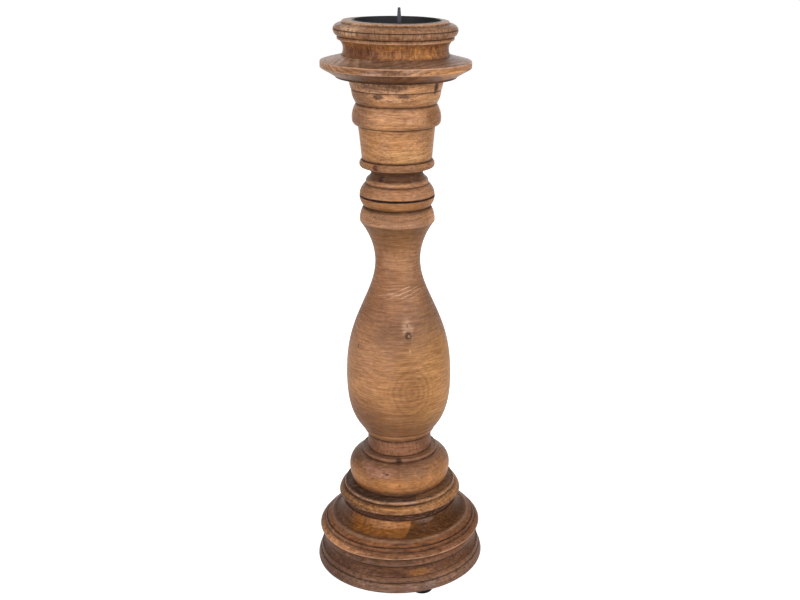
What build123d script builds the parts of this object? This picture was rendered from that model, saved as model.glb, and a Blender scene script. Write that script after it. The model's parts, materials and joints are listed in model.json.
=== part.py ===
from build123d import *
import os

os.makedirs("parts", exist_ok=True)

# Pricket candle stand, in millimetres. Z is the axis of turning, the floor is z = 0 and the front faces -Y.
# Each turned piece is a stack of mouldings, listed from its bottom up: a radius, then the rise to it.

# Fits and cuts that many pieces share
groove_width = 0.8  # fine turned lines
groove_depth = 0.9
arris_round = 0.5  # broken edges
glue_gap = 0.1  # round a dowel or a screw in its hole
bolt_clearance = 0.5  # round the coach screw in the base stack
end_clearance = 1.5  # past the end of a dowel or a screw
cut_overrun = 1.0
quarter_bulge_share = 1 - 0.5**0.5  # how far a quarter circle stands out from its chord, of its radius

# Feet: rubber bumpers, each held by a screw from below
foot_count = 4
foot_turn = -71.5  # degrees, the front right foot's place round the axis
foot_radius = 10.0
foot_height = 8.0
foot_edge_round = 1.4
foot_inset = 6.0  # from the plinth's lower edge
foot_screw_radius = 1.7
foot_screw_bite = 14.0  # into the plinth
foot_screw_point = 3.0
foot_screw_head_radius = 3.6
foot_screw_head_height = 2.2
foot_screw_head_round = 0.8
foot_screw_slot_width = 0.9
foot_screw_slot_depth = 1.0
foot_screw_head_depth = 1.8  # from the floor up to the head
foot_screw_head_gap = 0.6  # round the head

# Plinth, each of its depths measured in from its widest place
plinth_radius = 84.0
plinth_foot_depth = 0.7
plinth_round_height = 1.9
plinth_round_bulge = 0.25
plinth_band_depth = 2.4
plinth_band_height = 7.0
plinth_band_bulge = 0.35
plinth_fillet_foot_depth = 3.0
plinth_fillet_depth = 4.1
plinth_fillet_height = 5.1
plinth_step = 1.0
plinth_cove_depth = 7.7
plinth_cove_height = 10.7
plinth_cove_hollow = 1.2

# Base disc, of three boards glued edge to edge
board_turn = -37.0  # degrees, the way across the boards
board_width = 57.0
board_seam_offset = 42.0  # from the axis to the right board's seam
base_disc_band_radius = 77.4
base_disc_band_height = 6.4
base_disc_undercut_height = 3.4
base_disc_undercut_hollow = 0.6
base_disc_lip_radius = 81.0
base_disc_nose_height = 1.1
base_disc_nose_depth = 0.4
base_disc_nose_bulge = 0.15
base_disc_bevel_radius = 77.2
base_disc_bevel_height = 4.0
base_disc_bevel_bulge = 0.5
base_disc_bead_foot_radius = 76.2
base_disc_bead_radius = 74.6
base_disc_bead_height = 3.0
base_disc_bead_bulge = 0.35
base_disc_slope_foot_radius = 73.7
base_disc_slope_radius = 66.8
base_disc_slope_height = 4.7
base_disc_slope_bulge = 0.2
base_disc_quirk = 0.7
base_disc_cove_radius = 57.0
base_disc_cove_height = 13.3
base_disc_cove_hollow = 2.0
base_disc_top_round = 1.2

# Base ring
base_ring_foot_radius = 55.6
base_ring_neck_radius = 57.0
base_ring_neck_height = 7.8
base_ring_neck_hollow = 1.2
base_ring_under_height = 0.4
base_ring_radius = 60.9
base_ring_nose_depth = 1.0
base_ring_nose_height = 1.4
base_ring_nose_bulge = 0.25
base_ring_round_radius = 56.2
base_ring_round_height = 6.9
base_ring_round_bulge = 0.75
base_ring_bead_radius = 55.7
base_ring_top_radius = 53.9
base_ring_bead_height = 3.2
base_ring_bead_bulge = 0.4

# Bulb
bulb_foot_radius = 45.0
bulb_radius = 49.8
bulb_lower_height = 15.5
bulb_lower_bulge = 1.25
bulb_shoulder_radius = 36.8
bulb_upper_height = 16.2
bulb_upper_bulge = 4.2
bulb_bead_radius = 36.2
bulb_bead_height = 4.2
bulb_bead_bulge = 0.8

# Baluster
baluster_height = 257.7  # what its mouldings and its belly leave of this is the vase's neck
collar_radius = 31.2
collar_height = 16.2
vase_foot_radius = 32.6
vase_foot_top_radius = 36.2
vase_foot_height = 7.1
vase_foot_bulge = 0.6
vase_break_radius = 37.7
vase_belly_radius = 50.9
vase_belly_height = 49.0  # from the break up to the widest place
vase_neck_radius = 21.5
vase_flare_radius = 35.1
vase_flare_height = 37.0  # from the neck up to the flare's edge
vase_belly_share = (0.286, 0.6)  # of the height and of the radius, from the break to the belly
vase_shoulder_shares = ((0.385, 0.19), (0.68, 0.66), (0.84, 0.91))  # the same, from the belly to the neck
vase_flare_share = (0.6, 0.37)  # the same, from the neck to the flare
flare_bead_radius = 31.8
flare_bead_height = 13.6
flare_bead_bulge = 1.05
neck_recess_depth = 1.6
neck_recess_height = 1.7
neck_bead_radius = 35.2
neck_bead_lower_height = 8.7
neck_bead_lower_bulge = 0.75
burnt_line_depth = 1.5
burnt_line_height = 0.8  # each side of the joint

# Capital
neck_bead_top_radius = 30.5
neck_bead_upper_height = 9.9
neck_bead_upper_bulge = 1.05
neck_ring_foot_radius = 29.6
neck_ring_radius = 28.3
neck_ring_height = 4.6
neck_ring_bulge = 0.3
capital_neck_radius = 24.3
capital_shoulder_height = 4.2
capital_shoulder_hollow = 0.4
capital_neck_height = 1.6
capital_under_radius = 33.6
capital_under_height = 4.9
capital_under_hollow = 1.2
capital_plate_radius = 34.5
capital_plate_height = 4.6
capital_plate_bulge = 0.6
drum_foot_radius = 32.5
drum_foot_height = 2.0
drum_radius = 35.5
drum_height = 31.3
torus_under_height = 1.0
torus_foot_radius = 39.4
torus_radius = 40.9
torus_nose_height = 3.7
torus_nose_bulge = 0.4
torus_top_radius = 37.2
torus_round_height = 14.3
torus_round_bulge = 1.2
ovolo_foot_radius = 36.9
ovolo_radius = 40.9
ovolo_height = 12.4
ovolo_bulge = 1.1
abacus_foot_radius = 41.6
abacus_radius = 43.3
abacus_height = 9.7
abacus_bulge = 0.2

# Drip plate
plate_step_radius = 55.0
plate_step_height = 1.2
plate_bevel_foot_radius = 55.7
plate_bevel_height = 7.0
plate_radius = 68.5
plate_edge_height = 5.2
plate_top_radius = 49.5
plate_top_rise = 4.7

# Candle cup
cup_foot_radius = 49.3
cup_scotia_radius = 51.4
cup_scotia_height = 13.8
cup_scotia_hollow = 2.8
cup_fillet_radius = 52.7
cup_fillet_height = 2.7
cup_bead_foot_radius = 53.4
cup_bead_lower_height = 5.4
cup_bead_lower_bulge = 0.8
cup_bead_depth = 7.9  # from the lip out to the bead's widest place
cup_bead_upper_height = 4.3
cup_bead_upper_bulge = 1.5
cup_quirk_width = 1.0
cup_lip_wall = 8.4
cup_lip_height = 2.5
cup_lip_rise = 0.5  # of its sloping top, inwards

# Drip dish and pricket
dish_radius = 39.4
dish_offset = 1.2  # of the recess and the dish to the right, as photographed
dish_gap = 0.4  # from the dish to the cup's recess
dish_height = 12.5
dish_rise = 0.2  # above the cup's lip
dish_wall = 1.0
dish_corner_round = 2.5
dish_rim_bulge = 0.3
pricket_height = 22.0  # from the dish's floor up to the tip
pricket_offset = 1.8  # from the dish's middle to the right, as photographed
pricket_radius = 2.1
pricket_shank_height = 10.0  # of its straight part, from the dish's floor
pricket_tip_radius = 1.3
pricket_tip_round = 0.9
pricket_tip_flat = 0.4  # radius of the blunt end
pricket_flange_radius = 5.0
pricket_flange_height = 1.2
pricket_tail_radius = 1.6
pricket_tail_gap = 0.05
pricket_rivet_radius = 2.6
pricket_rivet_height = 0.8
pricket_washer_radius = 4.5
pricket_washer_height = 0.8
pocket_gap = 1.0  # round the washer and under the rivet

# Coach screw, its washer and the dowels
bolt_radius = 4.0
bolt_bite = 46.0  # into the baluster
bolt_point = 6.0
bolt_head_flats = 13.0
bolt_head_height = 5.3
bolt_head_cover = 2.4  # from the head to the plinth's underside
bolt_washer_radius = 12.0
bolt_washer_height = 1.6
bolt_washer_gap = 1.0
dowel_radius = 9.0
dowel_chamfer = 1.0
neck_dowel_bite = 30.0  # into each piece
cup_dowel_bite = 24.0  # into the capital
cup_dowel_cover = 4.0  # wood left under the pocket


class Outline:
    # The outer outline of a turned piece, drawn upwards in the X-Z plane and closed along the axis.

    def __init__(self, radius, height):
        self.first = Vector(radius, 0, height)
        self.last = self.first
        self.edges = []

    @property
    def top(self):
        return self.last.Z

    def add(self, edge, end):
        self.edges.append(edge)
        self.last = end
        return self

    def line(self, radius, rise):
        end = Vector(radius, 0, self.top + rise)
        return self.add(Line(self.last, end), end)

    def bow(self, radius, rise, bulge):
        # An arc that stands out from its chord by bulge, or is hollow where that is negative.
        end = Vector(radius, 0, self.top + rise)
        chord = end - self.last
        outwards = Vector(chord.Z, 0, -chord.X).normalized()
        middle = (self.last + end) / 2 + outwards * bulge
        return self.add(ThreePointArc(self.last, middle, end), end)

    def groove(self, radius):
        # A fine cut with two flanks, which comes out again at radius.
        self.line(self.last.X - groove_depth, groove_width / 2)
        return self.line(radius, groove_width / 2)

    def curve(self, places):
        # A smooth curve through places, each a radius and a rise from here.
        points = [Vector(radius, 0, self.top + rise) for radius, rise in places]
        return self.add(Spline(self.last, *points), points[-1])

    def turned(self):
        low = Vector(0, 0, self.first.Z)
        high = Vector(0, 0, self.last.Z)
        ends = [(self.last, high), (high, low), (low, self.first)]
        closing = [Line(start, end) for start, end in ends if (start - end).length > 0]
        return revolve(Face(Wire(self.edges + closing)), Axis.Z)


def rod(radius, bottom, top):
    return Pos(0, 0, bottom) * Cylinder(
        radius, top - bottom, align=(Align.CENTER, Align.CENTER, Align.MIN)
    )


def between(start, end, share):
    return start + (end - start) * share


# Outlines, in the order in which the pieces stand on each other


def draw_plinth(bottom):
    fillet_radius = plinth_radius - plinth_fillet_depth
    outline = Outline(plinth_radius - plinth_foot_depth, bottom)
    outline.bow(plinth_radius, plinth_round_height, plinth_round_bulge)
    outline.bow(plinth_radius - plinth_band_depth, plinth_band_height, plinth_band_bulge)
    outline.groove(plinth_radius - plinth_fillet_foot_depth)
    outline.line(fillet_radius, plinth_fillet_height)
    outline.line(fillet_radius - plinth_step, 0)
    return outline.bow(plinth_radius - plinth_cove_depth, plinth_cove_height, -plinth_cove_hollow)


def draw_base_disc(bottom):
    outline = Outline(base_disc_band_radius - arris_round, bottom)
    outline.line(base_disc_band_radius, arris_round)
    outline.line(base_disc_band_radius - arris_round, base_disc_band_height - arris_round)
    nose_radius = base_disc_lip_radius - base_disc_nose_depth
    outline.bow(nose_radius, base_disc_undercut_height, -base_disc_undercut_hollow)
    outline.bow(base_disc_lip_radius, base_disc_nose_height, base_disc_nose_bulge)
    outline.bow(base_disc_bevel_radius, base_disc_bevel_height, base_disc_bevel_bulge)
    outline.groove(base_disc_bead_foot_radius)
    outline.bow(base_disc_bead_radius, base_disc_bead_height, base_disc_bead_bulge)
    outline.groove(base_disc_slope_foot_radius)
    outline.bow(base_disc_slope_radius, base_disc_slope_height, base_disc_slope_bulge)
    outline.line(base_disc_slope_radius - base_disc_quirk, -base_disc_quirk)
    outline.bow(base_disc_cove_radius, base_disc_cove_height, -base_disc_cove_hollow)
    top_bulge = base_disc_top_round * quarter_bulge_share
    return outline.bow(base_disc_cove_radius - base_disc_top_round, base_disc_top_round, top_bulge)


def draw_base_ring(bottom):
    outline = Outline(base_ring_foot_radius, bottom)
    outline.bow(base_ring_neck_radius, base_ring_neck_height, -base_ring_neck_hollow)
    outline.line(base_ring_radius - base_ring_nose_depth, base_ring_under_height)
    outline.bow(base_ring_radius, base_ring_nose_height, base_ring_nose_bulge)
    outline.bow(base_ring_round_radius, base_ring_round_height, base_ring_round_bulge)
    outline.groove(base_ring_bead_radius)
    outline.bow(base_ring_top_radius, base_ring_bead_height, base_ring_bead_bulge)
    return outline.line(base_ring_top_radius - arris_round, arris_round)


def draw_bulb(bottom):
    outline = Outline(bulb_foot_radius, bottom)
    outline.bow(bulb_radius, bulb_lower_height, bulb_lower_bulge)
    outline.bow(bulb_shoulder_radius, bulb_upper_height, bulb_upper_bulge)
    outline.groove(bulb_bead_radius)
    return outline.bow(bulb_bead_radius, bulb_bead_height, bulb_bead_bulge)


def vase_places():
    # The vase's smooth side: break, belly, shoulder, neck and flare.
    lower = collar_height + vase_foot_height + 2 * groove_width
    bead_heights = flare_bead_height + neck_recess_height + neck_bead_lower_height + burnt_line_height
    neck_rise = baluster_height - lower - bead_heights - vase_flare_height
    up, out = vase_belly_share
    places = [(between(vase_break_radius, vase_belly_radius, out), vase_belly_height * up)]
    places.append((vase_belly_radius, vase_belly_height))
    for up, out in vase_shoulder_shares:
        radius = between(vase_belly_radius, vase_neck_radius, out)
        places.append((radius, between(vase_belly_height, neck_rise, up)))
    places.append((vase_neck_radius, neck_rise))
    up, out = vase_flare_share
    flare_rise = neck_rise + vase_flare_height
    places.append((between(vase_neck_radius, vase_flare_radius, out), between(neck_rise, flare_rise, up)))
    places.append((vase_flare_radius, flare_rise))
    return places


def draw_baluster(bottom):
    outline = Outline(collar_radius, bottom)
    outline.line(collar_radius, collar_height)
    outline.groove(vase_foot_radius)
    outline.bow(vase_foot_top_radius, vase_foot_height, vase_foot_bulge)
    outline.groove(vase_break_radius)
    outline.curve(vase_places())
    outline.bow(flare_bead_radius, flare_bead_height, flare_bead_bulge)
    outline.line(flare_bead_radius - neck_recess_depth, neck_recess_height / 2)
    outline.line(flare_bead_radius, neck_recess_height / 2)
    outline.bow(neck_bead_radius, neck_bead_lower_height, neck_bead_lower_bulge)
    return outline.line(neck_bead_radius - burnt_line_depth, burnt_line_height)


def draw_capital(bottom):
    outline = Outline(neck_bead_radius - burnt_line_depth, bottom)
    outline.line(neck_bead_radius, burnt_line_height)
    outline.bow(neck_bead_top_radius, neck_bead_upper_height, neck_bead_upper_bulge)
    outline.groove(neck_ring_foot_radius)
    outline.bow(neck_ring_radius, neck_ring_height, neck_ring_bulge)
    outline.bow(capital_neck_radius, capital_shoulder_height, -capital_shoulder_hollow)
    outline.line(capital_neck_radius, capital_neck_height)
    outline.bow(capital_under_radius, capital_under_height, -capital_under_hollow)
    outline.line(capital_plate_radius, arris_round)
    outline.bow(capital_plate_radius, capital_plate_height, capital_plate_bulge)
    outline.line(drum_foot_radius, drum_foot_height)
    outline.line(drum_radius, drum_height)
    outline.line(torus_foot_radius - arris_round, torus_under_height)
    outline.line(torus_foot_radius, arris_round)
    outline.bow(torus_radius, torus_nose_height, torus_nose_bulge)
    outline.bow(torus_top_radius, torus_round_height, torus_round_bulge)
    outline.groove(ovolo_foot_radius)
    outline.bow(ovolo_radius, ovolo_height, ovolo_bulge)
    outline.groove(abacus_foot_radius)
    return outline.bow(abacus_radius, abacus_height, abacus_bulge)


def draw_drip_plate(bottom):
    outline = Outline(plate_step_radius - arris_round, bottom)
    outline.line(plate_step_radius, arris_round)
    outline.line(plate_step_radius, plate_step_height - arris_round)
    outline.line(plate_bevel_foot_radius, arris_round)
    outline.line(plate_radius - arris_round, plate_bevel_height)
    outline.line(plate_radius, arris_round)
    outline.line(plate_radius, plate_edge_height)
    outline.line(plate_radius - arris_round, arris_round)
    return outline.line(plate_top_radius, plate_top_rise)


def draw_candle_cup(bottom):
    bead_radius = lip_radius + cup_bead_depth
    outline = Outline(cup_foot_radius, bottom)
    outline.bow(cup_scotia_radius, cup_scotia_height, -cup_scotia_hollow)
    outline.line(cup_fillet_radius, 0)
    outline.line(cup_fillet_radius, cup_fillet_height)
    outline.groove(cup_bead_foot_radius)
    outline.bow(bead_radius, cup_bead_lower_height, cup_bead_lower_bulge)
    outline.groove(bead_radius)
    outline.bow(lip_radius + cup_quirk_width, cup_bead_upper_height, cup_bead_upper_bulge)
    outline.line(lip_radius, 0)
    outline.line(lip_radius, cup_lip_height - arris_round)
    outline.line(lip_radius - arris_round, arris_round)
    return outline.line(recess_radius - dish_offset, cup_lip_rise)


recess_radius = dish_radius + dish_gap
lip_radius = recess_radius + cup_lip_wall

plinth_outline = draw_plinth(foot_height)
base_disc_outline = draw_base_disc(plinth_outline.top)
base_ring_outline = draw_base_ring(base_disc_outline.top)
bulb_outline = draw_bulb(base_ring_outline.top)
baluster_outline = draw_baluster(bulb_outline.top)
capital_outline = draw_capital(baluster_outline.top)
drip_plate_outline = draw_drip_plate(capital_outline.top)
candle_cup_outline = draw_candle_cup(drip_plate_outline.top)

# Places that the hardware and its holes share
foot_circle_radius = plinth_outline.first.X - foot_inset - foot_radius
foot_places = PolarLocations(foot_circle_radius, foot_count, start_angle=foot_turn)
foot_screw_seat = foot_screw_head_depth + foot_screw_head_height
foot_screw_top = foot_height + foot_screw_bite

bolt_head_bottom = foot_height + bolt_head_cover
bolt_head_top = bolt_head_bottom + bolt_head_height
bolt_seat = bolt_head_top + bolt_washer_height
bolt_top = bulb_outline.top + bolt_bite
bolt_hole_radius = bolt_radius + bolt_clearance

dish_floor = candle_cup_outline.top + dish_rise - dish_height
dish_floor_top = dish_floor + dish_wall
washer_bottom = dish_floor - pricket_washer_height
rivet_bottom = washer_bottom - pricket_rivet_height
pocket_bottom = rivet_bottom - pocket_gap
dish_place = Pos(dish_offset, 0, 0)
pricket_place = Pos(dish_offset + pricket_offset, 0, 0)

neck_joint = baluster_outline.top
cup_dowel_bottom = capital_outline.top - cup_dowel_bite
cup_dowel_top = pocket_bottom - cup_dowel_cover
dowel_hole_radius = dowel_radius + glue_gap


# Turned pieces with their holes


def make_plinth():
    plinth = plinth_outline.turned()
    plinth -= rod(bolt_washer_radius + bolt_washer_gap, foot_height - cut_overrun, bolt_seat)
    plinth -= rod(bolt_hole_radius, foot_height, plinth_outline.top + cut_overrun)
    pilot = rod(foot_screw_radius + glue_gap, foot_height - cut_overrun, foot_screw_top + end_clearance)
    for place in foot_places:
        plinth -= place * pilot
    return plinth


def make_base_disc_boards():
    bottom = plinth_outline.top - cut_overrun
    disc = base_disc_outline.turned() - rod(bolt_hole_radius, bottom, base_disc_outline.top + cut_overrun)
    across = Vector(1, 0, 0).rotate(Axis.Z, board_turn)
    right_seam = Plane(across * board_seam_offset, z_dir=across)
    left_seam = Plane(across * (board_seam_offset - board_width), z_dir=across)
    return {
        "base_disc_right": split(disc, right_seam, Keep.TOP),
        "base_disc_middle": split(split(disc, right_seam, Keep.BOTTOM), left_seam, Keep.TOP),
        "base_disc_left": split(disc, left_seam, Keep.BOTTOM),
    }


def bolted(outline):
    # A turned piece of the base stack, with the coach screw's clearance hole through it.
    return outline.turned() - rod(
        bolt_hole_radius, outline.first.Z - cut_overrun, outline.top + cut_overrun
    )


def make_baluster():
    pilot = rod(bolt_radius + glue_gap, bulb_outline.top - cut_overrun, bolt_top + end_clearance)
    socket_bottom = neck_joint - neck_dowel_bite - end_clearance
    socket = rod(dowel_hole_radius, socket_bottom, neck_joint + cut_overrun)
    return baluster_outline.turned() - pilot - socket


def make_capital():
    lower = rod(dowel_hole_radius, neck_joint - cut_overrun, neck_joint + neck_dowel_bite + end_clearance)
    upper = rod(dowel_hole_radius, cup_dowel_bottom - end_clearance, capital_outline.top + cut_overrun)
    return capital_outline.turned() - lower - upper


def make_drip_plate():
    bottom = capital_outline.top - cut_overrun
    return drip_plate_outline.turned() - rod(
        dowel_hole_radius, bottom, drip_plate_outline.top + cut_overrun
    )


def make_candle_cup():
    cup = candle_cup_outline.turned()
    cup -= dish_place * rod(recess_radius, dish_floor, candle_cup_outline.top + cut_overrun)
    pocket = rod(pricket_washer_radius + pocket_gap, pocket_bottom, dish_floor + cut_overrun)
    cup -= pricket_place * pocket
    return cup - rod(
        dowel_hole_radius, drip_plate_outline.top - cut_overrun, cup_dowel_top + glue_gap
    )


# Dish and pricket


def make_drip_dish():
    inner_radius = dish_radius - dish_wall
    inner_round = dish_corner_round - dish_wall
    outline = Outline(dish_radius - dish_corner_round, dish_floor)
    outline.bow(dish_radius, dish_corner_round, dish_corner_round * quarter_bulge_share)
    outline.line(dish_radius, dish_height - dish_corner_round - dish_rim_bulge)
    outline.bow(inner_radius, 0, dish_rim_bulge)
    wall_foot = dish_floor_top + inner_round
    outline.line(inner_radius, wall_foot - outline.top)
    outline.bow(inner_radius - inner_round, -inner_round, -inner_round * quarter_bulge_share)
    hole = rod(pricket_tail_radius + pricket_tail_gap, dish_floor - cut_overrun, dish_floor_top + cut_overrun)
    return dish_place * outline.turned() - pricket_place * hole


def make_pricket():
    outline = Outline(pricket_rivet_radius, rivet_bottom)
    outline.line(pricket_rivet_radius, pricket_rivet_height)
    outline.line(pricket_tail_radius, 0)
    outline.line(pricket_tail_radius, pricket_washer_height + dish_wall)
    outline.line(pricket_flange_radius, 0)
    outline.line(pricket_flange_radius, pricket_flange_height)
    outline.line(pricket_radius, 0)
    outline.line(pricket_radius, pricket_shank_height - pricket_flange_height)
    outline.line(pricket_tip_radius, pricket_height - pricket_shank_height - pricket_tip_round)
    tip_bulge = pricket_tip_round * quarter_bulge_share
    return pricket_place * outline.bow(pricket_tip_flat, pricket_tip_round, tip_bulge).turned()


def make_pricket_washer():
    hole = rod(pricket_tail_radius + pricket_tail_gap, washer_bottom - cut_overrun, dish_floor + cut_overrun)
    return pricket_place * (rod(pricket_washer_radius, washer_bottom, dish_floor) - hole)


# Hardware and feet


def make_base_bolt():
    outline = Outline(bolt_radius, bolt_head_top)
    outline.line(bolt_radius, bolt_top - bolt_point - bolt_head_top)
    outline.line(0, bolt_point)
    hexagon = RegularPolygon(bolt_head_flats / 2, 6, major_radius=False)
    head = Pos(0, 0, bolt_head_bottom) * extrude(hexagon, bolt_head_height)
    return head + outline.turned()


def make_base_washer():
    hole = rod(bolt_radius + glue_gap, bolt_head_top - cut_overrun, bolt_seat + cut_overrun)
    return rod(bolt_washer_radius, bolt_head_top, bolt_seat) - hole


def make_dowel(bottom, top):
    outline = Outline(dowel_radius - dowel_chamfer, bottom)
    outline.line(dowel_radius, dowel_chamfer)
    outline.line(dowel_radius, top - bottom - 2 * dowel_chamfer)
    return outline.line(dowel_radius - dowel_chamfer, dowel_chamfer).turned()


def make_foot():
    outline = Outline(foot_radius - foot_edge_round, 0)
    outline.bow(foot_radius, foot_edge_round, foot_edge_round * quarter_bulge_share)
    foot = outline.line(foot_radius, foot_height - foot_edge_round).turned()
    foot -= rod(foot_screw_head_radius + foot_screw_head_gap, -cut_overrun, foot_screw_seat)
    return foot - rod(foot_screw_radius + glue_gap, 0, foot_height + cut_overrun)


def make_foot_screw():
    outline = Outline(foot_screw_head_radius - foot_screw_head_round, foot_screw_head_depth)
    head_bulge = foot_screw_head_round * quarter_bulge_share
    outline.bow(foot_screw_head_radius, foot_screw_head_round, head_bulge)
    outline.line(foot_screw_head_radius, foot_screw_head_height - foot_screw_head_round)
    outline.line(foot_screw_radius, 0)
    outline.line(foot_screw_radius, foot_screw_top - foot_screw_point - foot_screw_seat)
    screw = outline.line(0, foot_screw_point).turned()
    slot = Box(
        foot_screw_slot_width,
        2 * foot_screw_head_radius + cut_overrun,
        2 * foot_screw_slot_depth,
    )
    return screw - Pos(0, 0, foot_screw_head_depth) * slot


parts = {
    "plinth": make_plinth(),
    "base_ring": bolted(base_ring_outline),
    "bulb": bolted(bulb_outline),
    "baluster": make_baluster(),
    "capital": make_capital(),
    "drip_plate": make_drip_plate(),
    "candle_cup": make_candle_cup(),
    "drip_dish": make_drip_dish(),
    "pricket": make_pricket(),
    "pricket_washer": make_pricket_washer(),
    "base_bolt": make_base_bolt(),
    "base_washer": make_base_washer(),
    "neck_dowel": make_dowel(neck_joint - neck_dowel_bite, neck_joint + neck_dowel_bite),
    "cup_dowel": make_dowel(cup_dowel_bottom, cup_dowel_top),
}
parts.update(make_base_disc_boards())

foot_names = ["foot_front_right", "foot_back_right", "foot_back_left", "foot_front_left"]
for name, place in zip(foot_names, foot_places):
    parts[name] = place * make_foot()
parts["foot_screws"] = Compound(children=[place * make_foot_screw() for place in foot_places])

for name, part in parts.items():
    export_step(part, f"parts/{name}.step")
    print(name, "volume", round(part.volume), "top", round(part.bounding_box().max.Z, 2))
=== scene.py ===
import json
import math
import bpy
import numpy as np
from mathutils import Matrix, Vector
from mathutils.bvhtree import BVHTree


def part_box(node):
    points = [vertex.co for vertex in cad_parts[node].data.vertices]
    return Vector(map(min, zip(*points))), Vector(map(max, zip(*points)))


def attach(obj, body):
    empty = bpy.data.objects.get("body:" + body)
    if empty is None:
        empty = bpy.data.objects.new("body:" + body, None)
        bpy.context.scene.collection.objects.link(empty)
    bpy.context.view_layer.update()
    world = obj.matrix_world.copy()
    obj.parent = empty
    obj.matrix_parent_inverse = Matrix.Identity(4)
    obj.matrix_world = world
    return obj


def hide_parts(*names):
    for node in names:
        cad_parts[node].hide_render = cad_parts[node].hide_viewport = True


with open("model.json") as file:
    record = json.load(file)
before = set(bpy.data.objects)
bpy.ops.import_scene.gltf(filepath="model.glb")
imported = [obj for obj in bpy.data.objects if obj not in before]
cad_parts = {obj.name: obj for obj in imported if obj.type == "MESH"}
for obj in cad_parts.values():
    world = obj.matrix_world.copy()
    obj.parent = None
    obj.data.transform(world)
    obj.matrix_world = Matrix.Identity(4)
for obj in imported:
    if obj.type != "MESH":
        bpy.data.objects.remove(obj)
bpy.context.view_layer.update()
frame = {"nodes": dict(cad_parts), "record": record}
print("frame loaded:", len(frame["nodes"]), "nodes")

# Camera, where the photograph was taken from (metres and degrees)
photoView = {
    "place": (0.0, -1.0199, 0.6293),
    "yaw": 5.075,        # to the right
    "pitch": 18.729,     # down
    "roll": 1.128,       # clockwise
    "lens": 49.98,       # mm on a sensor 36 mm wide
    "shift": (-0.1145, -0.0014),
}


def setCamera(view):
    camera = bpy.data.objects.new("camera", bpy.data.cameras.new("camera"))
    bpy.context.scene.collection.objects.link(camera)
    turn = Matrix.Rotation(math.radians(-view["yaw"]), 4, "Z")
    turn = turn @ Matrix.Rotation(math.radians(90 - view["pitch"]), 4, "X")
    turn = turn @ Matrix.Rotation(math.radians(view["roll"]), 4, "Z")
    camera.matrix_world = Matrix.Translation(view["place"]) @ turn
    camera.data.sensor_width = 36
    camera.data.lens = view["lens"]
    camera.data.shift_x, camera.data.shift_y = view["shift"]
    bpy.context.scene.camera = camera


setCamera(photoView)
bpy.context.scene.view_settings.view_transform = "Standard"
print("camera set")


# Node helpers: a value that is a socket is linked, any other is set
def feed(tree, socket, value):
    if isinstance(value, bpy.types.NodeSocket):
        tree.links.new(value, socket)
    else:
        socket.default_value = value


def put(tree, kind, inputs=None, **settings):
    made = tree.nodes.new(kind)
    for key, value in settings.items():
        setattr(made, key, value)
    for key, value in (inputs or {}).items():
        feed(tree, made.inputs[key], value)
    return made


def sumOf(tree, operation, *values, clamp=False):
    inputs = dict(enumerate(values))
    return put(tree, "ShaderNodeMath", inputs, operation=operation, use_clamp=clamp).outputs[0]


def vectorSum(tree, operation, *values, out="Vector"):
    inputs = dict(enumerate(values))
    return put(tree, "ShaderNodeVectorMath", inputs, operation=operation).outputs[out]


def remap(tree, value, low, high, toLow=0.0, toHigh=1.0, smooth=False):
    inputs = {"Value": value, "From Min": low, "From Max": high, "To Min": toLow, "To Max": toHigh}
    kind = "SMOOTHSTEP" if smooth else "LINEAR"
    return put(tree, "ShaderNodeMapRange", inputs, interpolation_type=kind).outputs["Result"]


def mixed(tree, share, first, second, blend="MIX"):
    made = put(tree, "ShaderNodeMix", data_type="RGBA", blend_type=blend)
    for index, value in ((0, share), (6, first), (7, second)):  # factor, A and B of a colour mix
        feed(tree, made.inputs[index], value)
    return made.outputs[2]


def noise(tree, vector, scale, detail=2.0, roughness=0.5):
    inputs = {"Vector": vector, "Scale": scale, "Detail": detail, "Roughness": roughness}
    return put(tree, "ShaderNodeTexNoise", inputs).outputs["Fac"]


def stretched(tree, vector, scale):
    return put(tree, "ShaderNodeMapping", {"Vector": vector, "Scale": scale}).outputs["Vector"]


def startGroup(name, inputs, outputs):
    tree = bpy.data.node_groups.new(name, "ShaderNodeTree")
    for label, kind, value in inputs:
        socket = tree.interface.new_socket(label, in_out="INPUT", socket_type="NodeSocket" + kind)
        socket.default_value = value
    for label, kind in outputs:
        tree.interface.new_socket(label, in_out="OUTPUT", socket_type="NodeSocket" + kind)
    given = put(tree, "NodeGroupInput").outputs
    wanted = put(tree, "NodeGroupOutput").inputs
    return tree, given, wanted


def useGroup(tree, group, inputs):
    made = put(tree, "ShaderNodeGroup")
    made.node_tree = group
    for key, value in inputs.items():
        feed(tree, made.inputs[key], value)
    return made.outputs


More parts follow.
